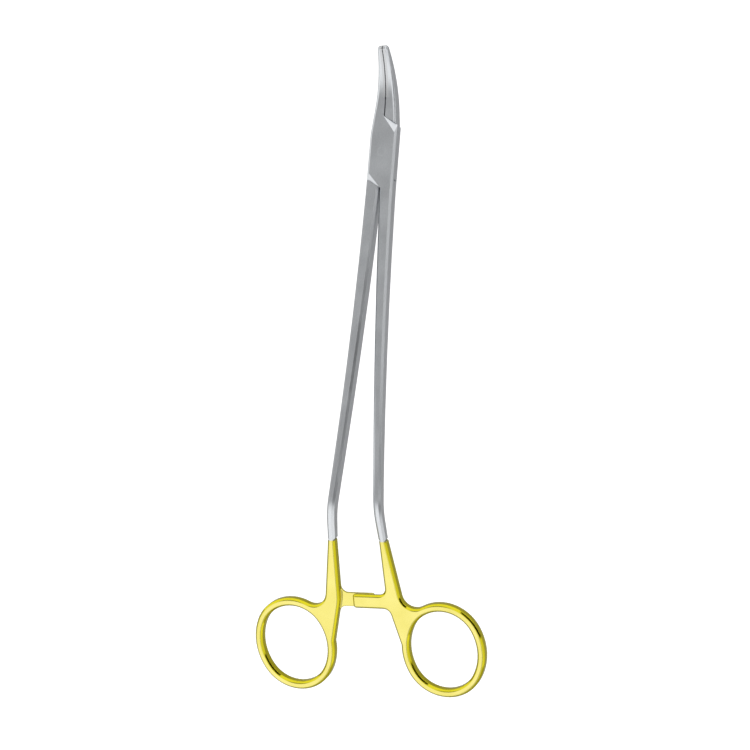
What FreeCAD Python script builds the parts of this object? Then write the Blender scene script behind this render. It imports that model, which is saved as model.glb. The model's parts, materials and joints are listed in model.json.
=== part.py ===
"""Long needle holder with a box lock, curved jaws, hard metal inserts and bent ring handles.

Working frame: X across, +Y from the pin toward the jaw tips, +Z along the pin toward the front plate, origin in the
middle of the pin. The whole instrument is then laid down as it rests on a table, on its ring ends and its jaw backs.
Lengths in millimetres, angles in degrees.
"""

import FreeCAD, Part
import math
import os

V = FreeCAD.Vector

# overall layout
bend_reach = 128.1  # pin to the corner where the handles bend back
handle_bend = 27.0
bend_radius = 16.0
body_thick = 4.9  # box and jaw roots, front to back
shank_thick = 4.2  # shanks at the bend
handle_thick = 3.5
edge_bevel = 0.75
running_gap = 0.05  # tongue to slot, each side
side_gap = 0.25  # each jaw root to the middle plane
fit_gap = 0.1  # shoulder to shoulder
sweep_gap = 0.3  # round end of the tongue to the round end of its slot
ridge_round = 1.0  # outer edges of the jaws and of the box beside them

# box lock
box_half_width = 5.0
shoulder_inner = 13.2  # where a shoulder meets the middle plane
shoulder_outer = 9.9  # where it meets the side of the box
facet_run = 3.0  # ground facet at the jaw shoulder, along the ridge of the box
facet_depth = 0.9
heel_facet_run = 2.0  # the same at the shank shoulder
heel_facet_depth = 0.6
tongue_thick = 1.6
tongue_reach = 11.4
tongue_root = 1.0  # tongue beyond the shoulders, inside the jaw and the shank
pin_radius = 1.6
pin_play = 0.05

# jaws
jaw_straight = 15.7  # pin to the start of the curve
jaw_back_radius = 28.6
jaw_front_radius = 32.35
jaw_end_radius = 1.3
jaw_tip_width = 1.75
side_turn = 6.9  # where the side of the box turns toward the jaw tip
side_blend = 25.0  # rounding of that turn
insert_thick = 1.0
insert_length = 17.6  # along the curve, from the centre of the jaw end
insert_gap = 0.02  # tooth tips to the middle plane
tooth_pitch = 0.6
tooth_depth = 0.2
tooth_loss = 0.02  # height that is missing from the ridges of one comb, and twice as much from the other

# shanks: edge distances from the middle plane at the box, halfway and at the handle
shank_inner = (0.2, 3.3, 8.15)
shank_outer = (5.0, 6.8, 10.85)
shank_middle = 74.1
taper_from = 20.0  # the shanks get thinner from here to the bend

# handles, measured down the handle from the bend corner
plated_from = 10.8
ring_across = 27.8  # middle plane to the ring centre
ring_down = 49.7
ring_long = 14.2  # half the hole, along its longer axis
ring_short = 12.35
ring_end_inset = 0.6  # the ends of the hole are rounder than half its width by this much
ring_tilt = 2.5
ring_tube = 2.85
neck_radius = 5.0
web_outer = 13.9  # shank edge at the neck
web_inner = 8.7  # shank edge at the ratchet arm
web_knee = 15.0  # rounding where the shank's inner edge turns toward the ring
web_inset = 1.1  # the web's inner edge runs into the ring this far inside its outer edge
handle_bevel = 0.75

# ratchet
arm_top = 30.3
arm_bottom = 35.3
arm_past_middle = 3.8
arm_face = 0.32  # arm to the handle's middle plane
arm_top_fillet = 2.5
arm_bottom_fillet = 2.8
arm_corner = 1.0
ratchet_teeth = 4
ratchet_pitch = 1.5
ratchet_gap = 0.06  # tooth crests to the handle's middle plane


def arc_about(centre, start, end):
    """Shorter arc about centre from start to end."""
    radius = (start - centre).Length
    middle = (start - centre).normalize() + (end - centre).normalize()
    return Part.Arc(start, centre + middle.normalize() * radius, end).toShape()


def line(start, end):
    return Part.makeLine(start, end)


def corner(before, at, after, radius):
    """Tangent points and centre of a corner that is rounded by radius."""
    back = (before - at).normalize()
    ahead = (after - at).normalize()
    half = back.getAngle(ahead) / 2
    run = radius / math.tan(half)
    centre = at + (back + ahead).normalize() * (radius / math.sin(half))
    return at + back * run, centre, at + ahead * run


def outline(points):
    """Edges of an open path through points of (x, y, corner radius)."""
    places = [V(x, y, 0) for x, y, _ in points]
    edges = []
    start = places[0]
    for i in range(1, len(points)):
        end = places[i]
        if i < len(points) - 1 and points[i][2]:
            first, centre, last = corner(places[i - 1], end, places[i + 1], points[i][2])
            edges += [line(start, first), arc_about(centre, first, last)]
            start = last
        else:
            edges.append(line(start, end))
            start = end
    return edges


def prism(edges, low, high):
    """Closed outline in the XY plane, extruded from low to high."""
    face = Part.Face(Part.Wire(edges))
    face.translate(V(0, 0, low))
    return face.extrude(V(0, 0, high - low))


def across(edges, low, high):
    """Closed outline given as (y, z), extruded along X from low to high."""
    solid = prism(edges, low, high)
    solid.rotate(V(), V(1, 1, 1), 120)
    return solid


def mirrored(shape):
    return shape.mirror(V(), V(1, 0, 0))


def to_handle(shape):
    """From the handle's own plane, whose origin is the bend corner, into the working frame."""
    placed = shape.copy()
    placed.rotate(V(), V(1, 0, 0), handle_bend)
    placed.translate(V(0, -bend_reach, 0))
    return placed


# the round end of the jaws touches both curves: its centre, beyond the start of the curve and above the shank's middle
back_centre = jaw_back_radius - body_thick / 2
front_centre = jaw_front_radius + body_thick / 2
from_back = jaw_back_radius - jaw_end_radius
from_front = jaw_front_radius + jaw_end_radius
jaw_rise = (from_back**2 - from_front**2 + front_centre**2 - back_centre**2) / (2 * (front_centre - back_centre))
jaw_run = math.sqrt(from_back**2 - (jaw_rise - back_centre) ** 2)
jaw_curve_radius = (jaw_run**2 + jaw_rise**2) / (2 * jaw_rise)
jaw_curve = math.degrees(math.asin(jaw_run / jaw_curve_radius))
tip_reach = jaw_straight + jaw_run


def side_profile():
    """Side view of a half, from the jaw end down to the plated part of the handle."""
    half = body_thick / 2
    turn = math.radians(handle_bend)
    shank = shank_thick / 2
    low = handle_thick / 2
    end = V(tip_reach, jaw_rise, 0)
    ahead = V(math.cos(math.radians(jaw_curve)), math.sin(math.radians(jaw_curve)), 0)
    below = V(jaw_straight, back_centre, 0)
    above = V(jaw_straight, front_centre, 0)
    back_end = below + (end - below) * (jaw_back_radius / from_back)
    front_end = above + (end - above) * (jaw_front_radius / from_front)
    back_start = V(jaw_straight, -half, 0)
    front_start = V(jaw_straight, half, 0)
    down = V(-math.cos(turn), -math.sin(turn), 0)
    out = V(-math.sin(turn), math.cos(turn), 0)
    knee = V(-bend_reach, 0, 0)
    handle_front = knee + down * plated_from + out * low
    handle_back = knee + down * plated_from - out * low
    front = outline(
        [
            (front_start.x, front_start.y, 0),
            (-taper_from, half, 0),
            (-bend_reach - shank * math.tan(turn / 2), shank, bend_radius + shank),
            (handle_front.x, handle_front.y, 0),
        ]
    )
    back = outline(
        [
            (handle_back.x, handle_back.y, 0),
            (-bend_reach + shank * math.tan(turn / 2), -shank, bend_radius - shank),
            (-taper_from, -half, 0),
            (back_start.x, back_start.y, 0),
        ]
    )
    return (
        front
        + [line(handle_front, handle_back)]
        + back
        + [
            arc_about(below, back_start, back_end),
            Part.Arc(back_end, end + ahead * jaw_end_radius, front_end).toShape(),
            arc_about(above, front_start, front_end),
        ]
    )


def plan_outline():
    """Front view of the box half: left jaw, box and right shank."""
    turn = math.radians(handle_bend)
    tail = -bend_reach - plated_from * math.cos(turn) - handle_thick / 2 * math.sin(turn)
    jaw = outline(
        [
            (-side_gap, shoulder_inner, 0),
            (-insert_gap, shoulder_inner, 0),
            (-insert_gap, tip_reach + 2 * jaw_end_radius, 0),
            (-jaw_tip_width, tip_reach + 2 * jaw_end_radius, 0),
            (-box_half_width, side_turn, side_blend),
            (-box_half_width, -shoulder_outer, 0),
            (shank_inner[0], -shoulder_inner, 0),
        ]
    )
    inner = [V(shank_inner[0], -shoulder_inner, 0), V(shank_inner[1], -shank_middle, 0), V(shank_inner[2], tail, 0)]
    outer = [V(shank_outer[2], tail, 0), V(shank_outer[1], -shank_middle, 0), V(shank_outer[0], -shoulder_inner, 0)]
    shank = [
        Part.Arc(*inner).toShape(),
        line(inner[2], outer[0]),
        Part.Arc(*outer).toShape(),
    ]
    box = outline(
        [
            (shank_outer[0], -shoulder_inner, 0),
            (box_half_width, shoulder_outer, 0),
            (-side_gap, shoulder_inner, 0),
        ]
    )
    return jaw + shank + box


def long_edges(shape):
    """Edges between the side walls and the front or back of a forging, without the gripping side of the jaw."""
    found = []
    for edge in shape.Edges:
        place = edge.valueAt((edge.FirstParameter + edge.LastParameter) / 2)
        normals = []
        for face in shape.ancestorsOfType(edge, Part.Face):
            normals.append(face.normalAt(*face.Surface.parameter(place)))
        wall = any(abs(n.z) < 0.001 and abs(n.x) > 0.6 for n in normals)
        broad = any(abs(n.x) < 0.001 for n in normals)
        gripping = place.y > 0 and abs(place.x) < jaw_tip_width / 4
        if wall and broad and not gripping:
            found.append((place, edge))
    return found


def forging():
    """Full thickness blank of the box half from the jaw end to the plated part.

    The shank and the right side of the box are bevelled, the jaw and the side of the box below it are rounded.
    """
    reach = 2 * (ring_across + ring_long)
    blank = prism(plan_outline(), -bend_reach, bend_reach).common(across(side_profile(), -reach, reach))
    blank = blank.removeSplitter()
    shank = [edge for place, edge in long_edges(blank) if place.x > 0]
    blank = blank.makeChamfer(edge_bevel, shank).Solids[0]
    jaw = [edge for place, edge in long_edges(blank) if place.x < 0 and place.y > -shoulder_outer]
    return blank.makeFillet(ridge_round, jaw).Solids[0]


def facet(inner, outer, side, run, depth):
    """Wedge that grinds the front corner of a plate between its shoulder and the ridge of the box."""
    front = body_thick / 2
    first = V(inner.x, inner.y, front)
    second = V(outer.x - math.copysign(edge_bevel, outer.x), outer.y - math.copysign(run, outer.y), front)
    third = V(outer.x, outer.y, front - depth)
    normal = (second - first).cross(third - first).normalize()
    if normal.z < 0:
        normal = normal * -1
    size = 4 * box_half_width
    block = Part.makeBox(size, size, size, first, normal)
    block.translate(first + normal * (size / 2) - block.CenterOfMass)
    limit = Part.makeBox(size, size, body_thick, V(min(inner.x, inner.x + side * size), -size / 2, 0))
    limit.translate(V(0, math.copysign(size / 2 + body_thick, outer.y), 0))
    return block.common(limit)


def jaw_zone(low, high):
    """Block around the part of the jaw that carries the insert, between two distances from the middle plane."""
    turn = jaw_curve - math.degrees(insert_length / jaw_curve_radius)
    run = math.radians(turn)
    across_jaw = 4 * body_thick
    block = Part.makeBox(high - low, 2 * insert_length, across_jaw, V(low, 0, -across_jaw / 2))
    block.rotate(V(), V(1, 0, 0), turn)
    block.translate(V(0, jaw_straight + jaw_curve_radius * math.sin(run), jaw_curve_radius * (1 - math.cos(run))))
    return block


def comb(angle, loss):
    """Row of parallel V ridges that cuts one direction of grooves into the gripping face of a left insert."""
    half = insert_length
    count = math.ceil(half / tooth_pitch)
    face = -insert_gap
    teeth = []
    for i in range(-count, count):
        teeth.append(V(i * tooth_pitch, face - loss, 0))
        teeth.append(V((i + 0.5) * tooth_pitch, face - tooth_depth, 0))
    teeth.append(V(count * tooth_pitch, face - loss, 0))
    top = face + 2 * tooth_depth
    teeth += [V(count * tooth_pitch, top, 0), V(-count * tooth_pitch, top, 0), teeth[0]]
    row = Part.Face(Part.makePolygon(teeth)).extrude(V(0, 0, 2 * half))
    row.translate(V(0, 0, -half))
    # the row runs along X with its depth along Y, and is turned so that its depth runs along X
    row.rotate(V(), V(0, 0, 1), -90)
    row = row.mirror(V(), V(0, 1, 0))
    row.rotate(V(), V(1, 0, 0), angle)
    middle = math.radians(jaw_curve - math.degrees(insert_length / 2 / jaw_curve_radius))
    row.translate(V(0, jaw_straight + jaw_curve_radius * math.sin(middle), jaw_curve_radius * (1 - math.cos(middle))))
    return row


def unit(angle):
    return V(math.cos(math.radians(angle)), math.sin(math.radians(angle)), 0)


# four-arc oval of the finger ring, in the handle's own plane with Y up the handle
ring_centre = V(ring_across, -ring_down, 0)
ring_up = unit(90 - ring_tilt)
ring_out = unit(-ring_tilt)
ring_end_radius = ring_short - ring_end_inset
end_offset = ring_long - ring_end_radius
ring_side_radius = (ring_short**2 + end_offset**2 - ring_end_radius**2) / (2 * (ring_short - ring_end_radius))
side_offset = ring_side_radius - ring_short
ring_top = ring_centre + ring_up * end_offset
ring_bottom = ring_centre - ring_up * end_offset
bulge_out = ring_centre - ring_out * side_offset  # centre of the arc that faces away from the middle
bulge_in = ring_centre + ring_out * side_offset


def joint_point(end_centre, side_centre, radius):
    """Where an end arc of the oval passes into a side arc."""
    return end_centre + (end_centre - side_centre).normalize() * radius


def tangent_point(point, centre, radius):
    """Where the line from point touches the circle on its side toward the middle plane."""
    toward = centre - point
    length = toward.Length
    sideways = V(toward.y, -toward.x, 0) * (radius * math.sqrt(length**2 - radius**2) / length**2)
    return centre - toward * (radius**2 / length**2) + sideways


def oval(grow):
    """Closed edges of the finger ring's hole, grown outward."""
    end_radius = ring_end_radius + grow
    corners = [
        joint_point(ring_top, bulge_out, end_radius),
        joint_point(ring_top, bulge_in, end_radius),
        joint_point(ring_bottom, bulge_in, end_radius),
        joint_point(ring_bottom, bulge_out, end_radius),
    ]
    return [
        arc_about(ring_top, corners[0], corners[1]),
        arc_about(bulge_in, corners[1], corners[2]),
        arc_about(ring_bottom, corners[2], corners[3]),
        arc_about(bulge_out, corners[3], corners[0]),
    ]


def handle_outline(with_arm):
    """Flat of the right handle: shank end and web, closed across the ring, with or without the ratchet arm."""
    end_radius = ring_end_radius + ring_tube
    side_radius = ring_side_radius + ring_tube - web_inset
    ring_corner = joint_point(ring_top, bulge_out, end_radius)
    inner_start = V(shank_inner[2], -plated_from, 0)
    outer_start = V(shank_outer[2], -plated_from, 0)
    knee = V(web_inner, -(arm_top + arm_bottom) / 2, 0)
    touch = tangent_point(knee, bulge_in, side_radius)
    upper = inner_start + (knee - inner_start) * ((arm_top + inner_start.y) / (knee.y - inner_start.y) * -1)
    lower = knee + (touch - knee) * ((arm_bottom + knee.y) / (touch.y - knee.y) * -1)
    path = [(inner_start.x, inner_start.y, 0)]
    if with_arm:
        path += [
            (upper.x, upper.y, arm_top_fillet),
            (-arm_past_middle, -arm_top, arm_corner),
            (-arm_past_middle, -arm_bottom, arm_corner),
            (lower.x, lower.y, arm_bottom_fillet),
        ]
    else:
        path.append((knee.x, knee.y, web_knee))
    path.append((touch.x, touch.y, 0))
    # the neck is an arc that touches the shank's outer edge and the top of the ring
    down = (V(web_outer, -arm_top, 0) - outer_start).normalize()
    out = V(-down.y, down.x, 0)
    base = outer_start + out * neck_radius - ring_top
    reach = end_radius + neck_radius
    along = -base.dot(down) - math.sqrt(base.dot(down) ** 2 - base.dot(base) + reach**2)
    neck_centre = ring_top + base + down * along
    neck_high = outer_start + down * along
    neck_low = ring_top + (neck_centre - ring_top) * (end_radius / reach)
    return outline(path) + [
        line(touch, ring_corner),
        arc_about(ring_top, ring_corner, neck_low),
        arc_about(neck_centre, neck_low, neck_high),
        line(neck_high, outer_start),
        line(outer_start, inner_start),
    ]


def ratchet():
    """Saw teeth under the end of the right ratchet arm, steep toward their own shank."""
    start = arm_corner - arm_past_middle
    teeth = [V(start, arm_face + arm_corner, 0)]
    for i in range(ratchet_teeth):
        teeth.append(V(start + i * ratchet_pitch, arm_face, 0))
        teeth.append(V(start + (i + 0.9) * ratchet_pitch, ratchet_gap, 0))
        teeth.append(V(start + (i + 1) * ratchet_pitch, ratchet_gap, 0))
    end = start + ratchet_teeth * ratchet_pitch
    teeth += [V(end, arm_face + arm_corner, 0), teeth[0]]
    row = Part.Face(Part.makePolygon(teeth)).extrude(V(0, 0, arm_bottom - arm_top - 2 * arm_corner))
    row.rotate(V(), V(1, 0, 0), 90)
    row.translate(V(0, -arm_top - arm_corner, 0))
    return row


def handle():
    """Plated part of the right handle with its ratchet arm in the front half, in the handle's own plane."""
    half = handle_thick / 2
    plate = prism(handle_outline(False), -half, arm_face)
    plate = plate.fuse(prism(handle_outline(True), arm_face, half))
    plate = plate.fuse(prism(oval(ring_tube), -half, half))
    plate = plate.cut(prism(oval(0), -handle_thick, handle_thick)).removeSplitter().Solids[0]
    rims = []
    for edge in plate.Edges:
        place = edge.valueAt((edge.FirstParameter + edge.LastParameter) / 2)
        if abs(abs(place.z) - half) < 0.001 and place.y < -plated_from - 0.001:
            rims.append(edge)
    return plate.makeChamfer(handle_bevel, rims).Solids[0].fuse(ratchet())


def shoulders(gap):
    """Plan of the box between its two shoulders, moved outward by gap."""
    wide = 2 * box_half_width
    reach = []
    for inner, outer, away in ((-side_gap, box_half_width, 1), (shank_inner[0], -box_half_width, -1)):
        first = V(inner, away * shoulder_inner, 0)
        run = (V(outer, away * shoulder_outer, 0) - first).normalize()
        first += V(-run.y, run.x, 0) * gap
        for x in (away * wide, -away * wide):
            reach.append(first + run * ((x - first.x) / run.x))
    edges = []
    for i in range(4):
        edges.append(line(reach[i], reach[(i + 1) % 4]))
    return edges


def lock_plan(radius, inner_low, inner_high, thick):
    """Round middle of the tongue with its two necks, or the slot for it."""
    low = -thick / 2
    disc = Part.makeCylinder(radius, thick, V(0, 0, low))
    upper = Part.makeBox(2 * box_half_width, 2 * shoulder_inner, thick, V(inner_high, 0, low))
    lower = Part.makeBox(2 * box_half_width, 2 * shoulder_inner, thick)
    lower.translate(V(inner_low - 2 * box_half_width, -2 * shoulder_inner, low))
    return disc.fuse(upper).fuse(lower)


def front_and_back(shape):
    return shape.fuse(shape.mirror(V(), V(0, 0, 1)))


blank = forging()
relief = Part.makeBox(2 * side_gap, tip_reach, 2 * bend_reach, V(-side_gap, shoulder_inner, -bend_reach))
gripping = jaw_zone(-insert_thick, insert_thick)
jaw_insert = blank.common(gripping)
jaw_insert = jaw_insert.cut(comb(jaw_curve / 2 - 45, tooth_loss))
jaw_insert = jaw_insert.cut(comb(jaw_curve / 2 + 45, 2 * tooth_loss))
blank = blank.cut(gripping).cut(relief.cut(gripping))
plated = to_handle(handle())

# box half: blank with the slot for the tongue, the pin bore, the ground facets and the right handle
jaw_facet = facet(
    V(-side_gap, shoulder_inner, 0), V(box_half_width, shoulder_outer, 0), 1, facet_run, facet_depth
)
heel_facet = facet(
    V(shank_inner[0], -shoulder_inner, 0),
    V(-box_half_width, -shoulder_outer, 0),
    -1,
    heel_facet_run,
    heel_facet_depth,
)
slot_thick = tongue_thick + 2 * running_gap
box_half = blank.cut(lock_plan(tongue_reach + sweep_gap, shank_inner[0], -side_gap, slot_thick))
box_half = box_half.cut(front_and_back(jaw_facet)).cut(front_and_back(heel_facet))
box_half = box_half.cut(Part.makeCylinder(pin_radius, 2 * body_thick, V(0, 0, -body_thick)))
box_half = box_half.fuse(plated)

# tongue half: the mirrored blank without the box, joined by the thin tongue, and the left handle
other = mirrored(blank)
tongue = mirrored(forging()).common(lock_plan(tongue_reach, -shank_inner[0], side_gap, tongue_thick))
tongue = tongue.common(prism(shoulders(tongue_root), -tongue_thick, tongue_thick))
tongue_half = other.cut(prism(shoulders(fit_gap), -body_thick, body_thick)).fuse(tongue)
tongue_half = tongue_half.cut(Part.makeCylinder(pin_radius + pin_play, 2 * body_thick, V(0, 0, -body_thick)))
turned = handle()
turned.rotate(V(), V(0, 1, 0), 180)
tongue_half = tongue_half.fuse(to_handle(turned))

nodes = {
    "box_half": box_half,
    "tongue_half": tongue_half,
    "lock_pin": Part.makeCylinder(pin_radius, body_thick, V(0, 0, -body_thick / 2)),
    "left_jaw_insert": jaw_insert,
    "right_jaw_insert": mirrored(jaw_insert),
}

# rest: the lowest line touches the backs of the jaws and the bevelled rim at the far end of the rings
far = ring_down + end_offset * math.cos(math.radians(ring_tilt)) + ring_end_radius + ring_tube - handle_bevel
rim = V(0, -far, -handle_thick / 2)
rim = V(0, -bend_reach, 0) + FreeCAD.Rotation(V(1, 0, 0), handle_bend).multVec(rim)
jaw_back = V(0, jaw_straight, back_centre)
gap = jaw_back - rim
rest_tilt = math.atan2(gap.z, gap.y) - math.asin(jaw_back_radius / gap.Length)
lift = jaw_back.y * math.sin(rest_tilt) - jaw_back.z * math.cos(rest_tilt) + jaw_back_radius

os.makedirs("parts", exist_ok=True)
placed = {}
for name, shape in nodes.items():
    solid = shape.removeSplitter().Solids[0]
    solid.rotate(V(), V(1, 0, 0), -math.degrees(rest_tilt))
    solid.translate(V(0, 0, lift))
    placed[name] = solid

# the origin lies on the table, halfway along the instrument
span = placed["box_half"].optimalBoundingBox(False, True)
span.add(placed["left_jaw_insert"].optimalBoundingBox(False, True))
pin_ahead = -(span.YMin + span.YMax) / 2
for name, solid in placed.items():
    solid.translate(V(0, pin_ahead, 0))
    solid.exportStep("parts/" + name + ".step")
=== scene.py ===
import json
import math

import bpy
from mathutils import Matrix, Vector

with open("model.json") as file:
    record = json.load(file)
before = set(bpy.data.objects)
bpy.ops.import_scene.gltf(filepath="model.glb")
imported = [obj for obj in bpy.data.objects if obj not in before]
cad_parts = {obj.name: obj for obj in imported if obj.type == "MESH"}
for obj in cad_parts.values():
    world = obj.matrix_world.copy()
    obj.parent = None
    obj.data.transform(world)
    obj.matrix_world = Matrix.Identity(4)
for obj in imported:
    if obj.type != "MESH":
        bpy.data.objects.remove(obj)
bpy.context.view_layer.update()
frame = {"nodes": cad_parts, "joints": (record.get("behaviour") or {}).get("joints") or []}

# Box half: one forging of stainless steel with the left jaw, the two plates of the box, the right shank, the
# front ratchet arm and the right finger ring. Satin ground along its length, and plated with polished gold below
# the bend. It carries the pin and the left insert.
PIN = Vector(frame["joints"][0]["pos_m"])
FRONT = -Vector(frame["joints"][0]["axis"]).normalized()
ACROSS = Vector((1, 0, 0))
TIPWARD = FRONT.cross(ACROSS)
BEND_REACH = 0.1281  # pin to the corner where the handles bend back
HANDLE_BEND = math.radians(27)

down_handle = -TIPWARD * math.cos(HANDLE_BEND) - FRONT * math.sin(HANDLE_BEND)
handle_front = down_handle.cross(ACROSS)
bend_corner = PIN - TIPWARD * BEND_REACH


def node(tree, kind, place=(0, 0), **settings):
    """Adds a shader node, with its settings and its unlinked inputs given by name."""
    made = tree.nodes.new(kind)
    made.location = place
    for name, value in settings.items():
        if hasattr(made, name):
            setattr(made, name, value)
        else:
            made.inputs[name.replace("_", " ")].default_value = value
    return made


def new_group(name, inputs, outputs):
    """Starts a shader node group with float inputs and the given (name, socket type) outputs."""
    group = bpy.data.node_groups.new(name, "ShaderNodeTree")
    for label, default in inputs.items():
        socket = group.interface.new_socket(name=label, in_out="INPUT", socket_type="NodeSocketFloat")
        socket.default_value = default
    for label, socket_type in outputs.items():
        group.interface.new_socket(name=label, in_out="OUTPUT", socket_type=socket_type)
    return group, node(group, "NodeGroupInput", (-900, 0)), node(group, "NodeGroupOutput", (700, 0))


PLATED_FROM = 0.0108  # bend corner to the edge of the plating
PLATING_EDGE = 0.00012


def plated_mask_group():
    """1 on the plated part of the handles, 0 on the bare steel, with the crisp line of a masked plating bath."""
    group, _, out = new_group("plated mask", {}, {"Mask": "NodeSocketFloat"})
    place = node(group, "ShaderNodeTexCoord", (-700, 0))
    along = node(group, "ShaderNodeVectorMath", (-500, 0), operation="DOT_PRODUCT")
    along.inputs[1].default_value = down_handle
    start = bend_corner.dot(down_handle) + PLATED_FROM
    edge = node(group, "ShaderNodeMapRange", (-250, 0))
    edge.inputs["From Min"].default_value = start - PLATING_EDGE
    edge.inputs["From Max"].default_value = start + PLATING_EDGE
    group.links.new(place.outputs["Object"], along.inputs[0])
    group.links.new(along.outputs["Value"], edge.inputs["Value"])
    group.links.new(edge.outputs["Result"], out.inputs["Mask"])
    return group


PLATED_MASK = plated_mask_group()

GRINDING_ACROSS = 9000.0  # grinding lines to the metre
GRINDING_ALONG = 260.0
HANDLING_CLOUDS = 90.0


def satin_grain_group():
    """Fine grinding lines along the instrument, with a slow change of tone from the belt and from handling."""
    group, given, out = new_group(
        "satin grain",
        {"Lines across": GRINDING_ACROSS, "Lines along": GRINDING_ALONG, "Cloud size": HANDLING_CLOUDS},
        {"Lines": "NodeSocketFloat", "Cloud": "NodeSocketFloat"},
    )
    place = node(group, "ShaderNodeTexCoord", (-900, -250))
    stretch = node(group, "ShaderNodeCombineXYZ", (-700, 0))
    scaled = node(group, "ShaderNodeVectorMath", (-500, 0), operation="MULTIPLY")
    lines = node(group, "ShaderNodeTexNoise", (-250, 0), Scale=1.0, Detail=3.0, Roughness=0.6)
    cloud = node(group, "ShaderNodeTexNoise", (-250, -300), Detail=4.0, Roughness=0.55)
    group.links.new(given.outputs["Lines across"], stretch.inputs["X"])
    group.links.new(given.outputs["Lines along"], stretch.inputs["Y"])
    group.links.new(given.outputs["Lines across"], stretch.inputs["Z"])
    group.links.new(place.outputs["Object"], scaled.inputs[0])
    group.links.new(stretch.outputs["Vector"], scaled.inputs[1])
    group.links.new(scaled.outputs["Vector"], lines.inputs["Vector"])
    group.links.new(place.outputs["Object"], cloud.inputs["Vector"])
    group.links.new(given.outputs["Cloud size"], cloud.inputs["Scale"])
    group.links.new(lines.outputs["Fac"], out.inputs["Lines"])
    group.links.new(cloud.outputs["Fac"], out.inputs["Cloud"])
    return group


SATIN_GRAIN = satin_grain_group()

NOISE_LOW = 0.3
NOISE_HIGH = 0.7


def spread(tree, noise, limits, place):
    """Maps a noise value to the range between two limits."""
    made = node(tree, "ShaderNodeMapRange", place, To_Min=limits[0], To_Max=limits[1])
    made.inputs["From Min"].default_value = NOISE_LOW
    made.inputs["From Max"].default_value = NOISE_HIGH
    tree.links.new(noise, made.inputs["Value"])
    return made.outputs["Result"]


def blend(tree, factor, first, second, place, kind="RGBA"):
    """Mix node of two colours, or of two values where kind is FLOAT. Each may be a socket or a constant."""
    made = node(tree, "ShaderNodeMix", place, data_type=kind)
    first_input, second_input, result = {"RGBA": (6, 7, 2), "FLOAT": (2, 3, 0)}[kind]
    tree.links.new(factor, made.inputs[0])
    for value, index in ((first, first_input), (second, second_input)):
        if isinstance(value, bpy.types.NodeSocket):
            tree.links.new(value, made.inputs[index])
        else:
            made.inputs[index].default_value = value
    return made.outputs[result]


FLAT_UNTIL = 0.97  # cosines of the slope away from the handle's front or back
RIM_FROM = 0.80


def rim_painted_shade_mask(tree):
    """0 on the flats of the handles, front and back, and 1 on their rims, from the slope of the surface. It marks
    where the gold gets painted shade.
    """
    slope = node(tree, "ShaderNodeTexCoord", (-1400, -400))
    facing = node(tree, "ShaderNodeVectorMath", (-1200, -400), operation="DOT_PRODUCT")
    facing.inputs[1].default_value = handle_front
    either_side = node(tree, "ShaderNodeMath", (-1100, -500), operation="ABSOLUTE")
    mask = node(tree, "ShaderNodeMapRange", (-1000, -400))
    mask.inputs["From Min"].default_value = FLAT_UNTIL
    mask.inputs["From Max"].default_value = RIM_FROM
    tree.links.new(slope.outputs["Normal"], facing.inputs[0])
    tree.links.new(facing.outputs["Value"], either_side.inputs[0])
    tree.links.new(either_side.outputs[0], mask.inputs["Value"])
    return mask.outputs["Result"]


STEEL = (0.68, 0.70, 0.72, 1)
STEEL_DULL = (0.57, 0.59, 0.61, 1)
STEEL_ROUGHNESS = (0.27, 0.35)
STEEL_EDGE = 0.00006  # radius of the edges as light meets them
GOLD = (0.77, 0.69, 0.22, 1)
GOLD_DEEP = (0.71, 0.63, 0.16, 1)
# Gold of the rims: painted shade, darker and greener where the rounded edges of the handles turn from the light.
# The plating itself is even.
GOLD_RIM_PAINTED_SHADE = (0.63, 0.56, 0.02, 1)
GOLD_ROUGHNESS = (0.09, 0.14)
GOLD_EDGE = 0.0006
EDGE_SAMPLES = 16
SATIN_BUMP = 0.12
BUMP_DEPTH = 0.00001


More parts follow.
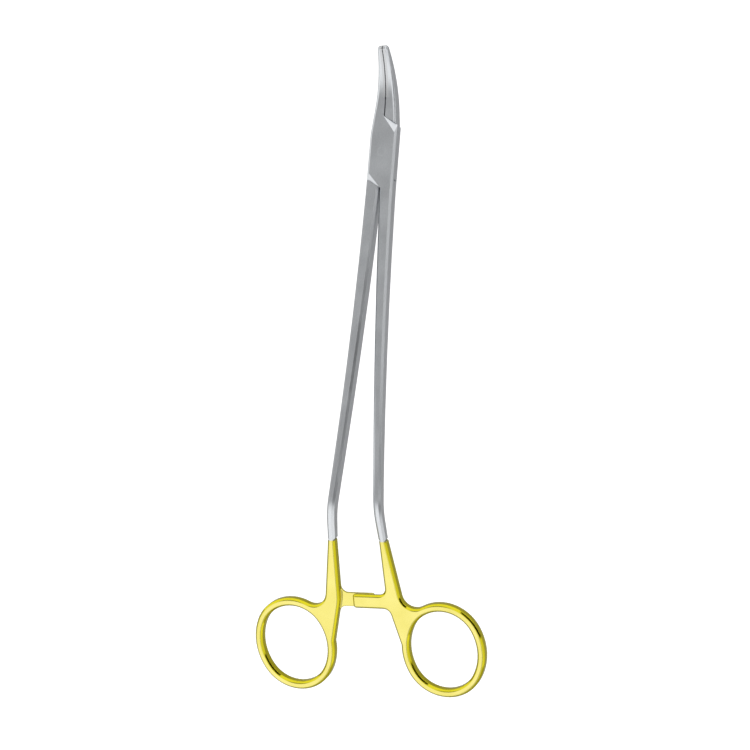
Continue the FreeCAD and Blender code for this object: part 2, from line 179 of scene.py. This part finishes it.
def forged_steel():
    """Satin stainless steel with polished gold plating on the handles, and painted shade on the rims of the gold.
    """
    material = bpy.data.materials.new("forged_steel_gold_handle")
    material.use_nodes = True
    tree = material.node_tree
    shader = tree.nodes["Principled BSDF"]
    shader.inputs["Metallic"].default_value = 1.0
    mask = node(tree, "ShaderNodeGroup", (-1000, 300), node_tree=PLATED_MASK).outputs["Mask"]
    grain = node(tree, "ShaderNodeGroup", (-1000, 0), node_tree=SATIN_GRAIN)
    lines, cloud = grain.outputs["Lines"], grain.outputs["Cloud"]
    steel = blend(tree, spread(tree, lines, (0.0, 1.0), (-800, 0)), STEEL_DULL, STEEL, (-600, 0))
    flat = blend(tree, spread(tree, cloud, (0.0, 1.0), (-1000, -200)), GOLD, GOLD_DEEP, (-800, -200))
    # The rims of the gold get painted shade, from the slope of the surface.
    gold = blend(tree, rim_painted_shade_mask(tree), flat, GOLD_RIM_PAINTED_SHADE, (-600, -200))
    colour = blend(tree, mask, steel, gold, (-350, 200))
    steel_rough = spread(tree, cloud, STEEL_ROUGHNESS, (-800, -400))
    gold_rough = spread(tree, cloud, GOLD_ROUGHNESS, (-800, -600))
    rough = blend(tree, mask, steel_rough, gold_rough, (-350, -300), "FLOAT")
    height = blend(tree, mask, lines, cloud, (-350, -600), "FLOAT")
    edge = node(tree, "ShaderNodeBevel", (-350, -850), samples=EDGE_SAMPLES)
    edge_radius = blend(tree, mask, STEEL_EDGE, GOLD_EDGE, (-550, -850), "FLOAT")
    bump = node(tree, "ShaderNodeBump", (-150, -500), Strength=SATIN_BUMP, Distance=BUMP_DEPTH)
    tree.links.new(edge_radius, edge.inputs["Radius"])
    tree.links.new(edge.outputs["Normal"], bump.inputs["Normal"])
    tree.links.new(height, bump.inputs["Height"])
    tree.links.new(colour, shader.inputs["Base Color"])
    tree.links.new(rough, shader.inputs["Roughness"])
    tree.links.new(bump.outputs["Normal"], shader.inputs["Normal"])
    return material


def finish_piece(name, material):
    """Gives a CAD node its material."""
    piece = frame["nodes"][name]
    piece.data.materials.clear()
    piece.data.materials.append(material)


FORGED_STEEL = forged_steel()
finish_piece("box_half", FORGED_STEEL)

# Tongue half: the mating forging with the right jaw, the thin tongue through the box, the left shank, the rear
# ratchet arm and the left finger ring. It is of the same steel with the same plating, and it turns on the pin. It
# carries the right insert.
finish_piece("tongue_half", FORGED_STEEL)

# Lock pin: a rivet of the same steel. It is pressed into both plates of the box, through the tongue, and ground
# flush with them, so it shows only as a fine ring.
finish_piece("lock_pin", FORGED_STEEL)

# Jaw inserts: plates of sintered hard metal with ground crossing grooves, brazed into the jaws. Darker and
# duller than the steel, with a fine sparkle of the sintered grain.
HARD_METAL = (0.62, 0.63, 0.64, 1)
HARD_METAL_DARK = (0.52, 0.53, 0.54, 1)
HARD_METAL_ROUGHNESS = (0.33, 0.42)
SINTERED_GRAIN = 12000.0  # grains to the metre, the same each way
SINTERED_BUMP = 0.2


def hard_metal():
    """Sintered hard metal, dull and evenly grained."""
    material = bpy.data.materials.new("hard_metal")
    material.use_nodes = True
    tree = material.node_tree
    shader = tree.nodes["Principled BSDF"]
    shader.inputs["Metallic"].default_value = 1.0
    grain = node(tree, "ShaderNodeGroup", (-900, 0), node_tree=SATIN_GRAIN)
    grain.inputs["Lines across"].default_value = SINTERED_GRAIN
    grain.inputs["Lines along"].default_value = SINTERED_GRAIN
    lines, cloud = grain.outputs["Lines"], grain.outputs["Cloud"]
    colour = blend(tree, spread(tree, lines, (0.0, 1.0), (-700, 0)), HARD_METAL_DARK, HARD_METAL, (-500, 0))
    bump = node(tree, "ShaderNodeBump", (-300, -400), Strength=SINTERED_BUMP, Distance=BUMP_DEPTH)
    tree.links.new(lines, bump.inputs["Height"])
    tree.links.new(colour, shader.inputs["Base Color"])
    tree.links.new(spread(tree, cloud, HARD_METAL_ROUGHNESS, (-700, -300)), shader.inputs["Roughness"])
    tree.links.new(bump.outputs["Normal"], shader.inputs["Normal"])
    return material


HARD_METAL_FINISH = hard_metal()
for name in ("left_jaw_insert", "right_jaw_insert"):
    finish_piece(name, HARD_METAL_FINISH)

# Floor: pale paper that the camera sees as white, and metal only a little brighter than it is lit. It lies low
# enough for the left ring, which sinks by 12.6 mm as the box lock opens.
FLOOR_HALF = 3.0
FLOOR_LEVEL = -0.013
FLOOR_COLOUR = (0.40, 0.40, 0.40, 1)
FLOOR_GLOW = 0.85
FLOOR_GLINT = 0.08

floor_corners = [(-1, -1), (1, -1), (1, 1), (-1, 1)]
floor_mesh = bpy.data.meshes.new("floor")
floor_mesh.from_pydata([(x * FLOOR_HALF, y * FLOOR_HALF, 0) for x, y in floor_corners], [], [(0, 1, 2, 3)])
floor = bpy.data.objects.new("floor", floor_mesh)
floor.location.z = FLOOR_LEVEL
bpy.context.scene.collection.objects.link(floor)

paper = bpy.data.materials.new("floor_paper")
paper.use_nodes = True
tree = paper.node_tree
tree.nodes.clear()
matte = node(tree, "ShaderNodeBsdfDiffuse", (-400, 100), Color=FLOOR_COLOUR)
glow = node(tree, "ShaderNodeEmission", (-400, -100), Color=(1, 1, 1, 1))
both = node(tree, "ShaderNodeAddShader", (-200, 0))
ray = node(tree, "ShaderNodeLightPath", (-1200, -100))
seen = node(tree, "ShaderNodeMath", (-1000, 0), operation="MAXIMUM")
seen_glow = node(tree, "ShaderNodeMath", (-800, 0), operation="MULTIPLY")
mirrored_glow = node(tree, "ShaderNodeMath", (-800, -200), operation="MULTIPLY")
strength = node(tree, "ShaderNodeMath", (-600, -100), operation="ADD")
result = node(tree, "ShaderNodeOutputMaterial", (0, 0))
seen_glow.inputs[1].default_value = FLOOR_GLOW
mirrored_glow.inputs[1].default_value = FLOOR_GLINT
tree.links.new(ray.outputs["Is Camera Ray"], seen.inputs[0])
tree.links.new(ray.outputs["Is Transmission Ray"], seen.inputs[1])
tree.links.new(seen.outputs[0], seen_glow.inputs[0])
tree.links.new(ray.outputs["Is Glossy Ray"], mirrored_glow.inputs[0])
tree.links.new(seen_glow.outputs[0], strength.inputs[0])
tree.links.new(mirrored_glow.outputs[0], strength.inputs[1])
tree.links.new(strength.outputs[0], glow.inputs["Strength"])
tree.links.new(matte.outputs[0], both.inputs[0])
tree.links.new(glow.outputs[0], both.inputs[1])
tree.links.new(both.outputs[0], result.inputs["Surface"])
paper.cycles.emission_sampling = "NONE"
floor_mesh.materials.append(paper)

# Light tent: plain white, with a grey card where the flats of the steel mirror it, another for the views from
# behind, a black bar where the rims of the rings mirror it, and a shaded right wall. Limits are cosines.
TENT_WALL = 1.25
GREY_CARD = 0.35
GREY_CARD_WAY = (-0.38, 0.33, 0.865)
GREY_CARD_EDGES = (0.899, 0.970)
FRONT_CARD = 0.48
FRONT_CARD_WAY = (0.10, -0.78, 0.618)
FRONT_CARD_EDGES = (0.90, 0.965)
BLACK_BAR = 0.02
BLACK_BAR_WAY = (0.80, 0.36, 0.48)
BLACK_BAR_ENDS = (0.85, 0.885)
BLACK_BAR_ACROSS = (-0.429, -0.597, 0.678)
BLACK_BAR_MIDDLE = -0.05
BLACK_BAR_SIDES = (0.20, 0.26)
RIGHT_WALL = 0.75
RIGHT_WALL_EDGES = (0.70, 0.90)

world = bpy.data.worlds.new("light_tent")
world.use_nodes = True
bpy.context.scene.world = world
tree = world.node_tree
background = tree.nodes["Background"]
way = node(tree, "ShaderNodeTexCoord", (-1500, 0)).outputs["Generated"]


def toward_way(direction, place):
    """How far each direction of the tent points the given way, from -1 to 1."""
    made = node(tree, "ShaderNodeVectorMath", place, operation="DOT_PRODUCT")
    made.inputs[1].default_value = direction
    tree.links.new(way, made.inputs[0])
    return made.outputs["Value"]


def faded(value, edges, low, high, place):
    """Soft step from low to high between two values."""
    made = node(tree, "ShaderNodeMapRange", place, interpolation_type="SMOOTHSTEP", To_Min=low, To_Max=high)
    made.inputs["From Min"].default_value = edges[0]
    made.inputs["From Max"].default_value = edges[1]
    tree.links.new(value, made.inputs["Value"])
    return made.outputs["Result"]


def math_of(operation, first, second, place):
    """Math node of a socket and a socket or a number."""
    made = node(tree, "ShaderNodeMath", place, operation=operation)
    tree.links.new(first, made.inputs[0])
    if isinstance(second, bpy.types.NodeSocket):
        tree.links.new(second, made.inputs[1])
    else:
        made.inputs[1].default_value = second
    return made.outputs[0]


grey_card = faded(toward_way(GREY_CARD_WAY, (-1200, 300)), GREY_CARD_EDGES, TENT_WALL, GREY_CARD, (-1000, 300))
front_card = faded(toward_way(FRONT_CARD_WAY, (-1200, 500)), FRONT_CARD_EDGES, 1.0, FRONT_CARD, (-1000, 500))
cards = math_of("MULTIPLY", grey_card, front_card, (-800, 400))
right_wall = faded(toward_way(ACROSS, (-1200, -400)), RIGHT_WALL_EDGES, 1.0, RIGHT_WALL, (-1000, -400))
shaded = math_of("MULTIPLY", cards, right_wall, (-400, 200))

from_middle = math_of("SUBTRACT", toward_way(BLACK_BAR_ACROSS, (-1400, 0)), BLACK_BAR_MIDDLE, (-1200, 0))
off_middle = math_of("ABSOLUTE", from_middle, 0.0, (-1000, 0))
between_sides = faded(off_middle, BLACK_BAR_SIDES, 1.0, 0.0, (-800, 0))
between_ends = faded(toward_way(BLACK_BAR_WAY, (-1200, -200)), BLACK_BAR_ENDS, 0.0, 1.0, (-1000, -200))
on_bar = math_of("MULTIPLY", between_sides, between_ends, (-600, -100))
bar = faded(on_bar, (0.0, 1.0), 1.0, BLACK_BAR, (-400, -100))

background.inputs["Color"].default_value = (1, 1, 1, 1)
tree.links.new(math_of("MULTIPLY", shaded, bar, (-200, 100)), background.inputs["Strength"])

# Soft lamp: a round one that stands where the flats of the gold mirror it, on the side of the rings. It is weak,
# because the tent gives most of the light.
LAMP_WAY = Vector((-0.34, -0.66, 0.67))
LAMP_REACH = 1.2
LAMP_SIZE = 0.5
LAMP_POWER = 0.04

lamp = bpy.data.lights.new("soft_lamp", "AREA")
lamp.shape = "DISK"
lamp.size = LAMP_SIZE
lamp.energy = LAMP_POWER
lamp_object = bpy.data.objects.new("soft_lamp", lamp)
lamp_object.location = LAMP_WAY.normalized() * LAMP_REACH
lamp_object.rotation_euler = LAMP_WAY.to_track_quat("Z", "Y").to_euler()
bpy.context.scene.collection.objects.link(lamp_object)

# Camera: above the middle of the instrument, a little to its right and toward the rings. It is placed by the
# pixel at which the pin shows.
PIXELS = 750
SCALE = 2813.0  # pixels to the metre
PIN_PIXEL = (383.94, 153.41)
YAW = math.radians(22.534)
PITCH = math.radians(-11.868)
ROLL = math.radians(4.588)
CAMERA_REACH = 0.71946
SENSOR_WIDTH = 36.0
VIEW_DEPTH = 50.0

level = ACROSS * math.cos(YAW) - FRONT * math.sin(YAW)
sideways = ACROSS * math.sin(YAW) + FRONT * math.cos(YAW)
toward = sideways * math.cos(PITCH) + TIPWARD * math.sin(PITCH)
upright = TIPWARD * math.cos(PITCH) - sideways * math.sin(PITCH)
right = level * math.cos(ROLL) + upright * math.sin(ROLL)
up = upright * math.cos(ROLL) - level * math.sin(ROLL)
aim = PIN - right * (PIN_PIXEL[0] - PIXELS / 2) / SCALE + up * (PIN_PIXEL[1] - PIXELS / 2) / SCALE

camera = bpy.data.cameras.new("camera")
camera.type = "PERSP"
camera.sensor_width = SENSOR_WIDTH
camera.lens = SENSOR_WIDTH * CAMERA_REACH * SCALE / PIXELS
camera.clip_end = VIEW_DEPTH
camera_object = bpy.data.objects.new("camera", camera)
turn = Matrix((right, up, toward)).transposed()
camera_object.matrix_world = Matrix.Translation(aim + toward * CAMERA_REACH) @ turn.to_4x4()
bpy.context.scene.collection.objects.link(camera_object)
bpy.context.scene.camera = camera_object

bpy.context.scene.view_settings.view_transform = "Standard"
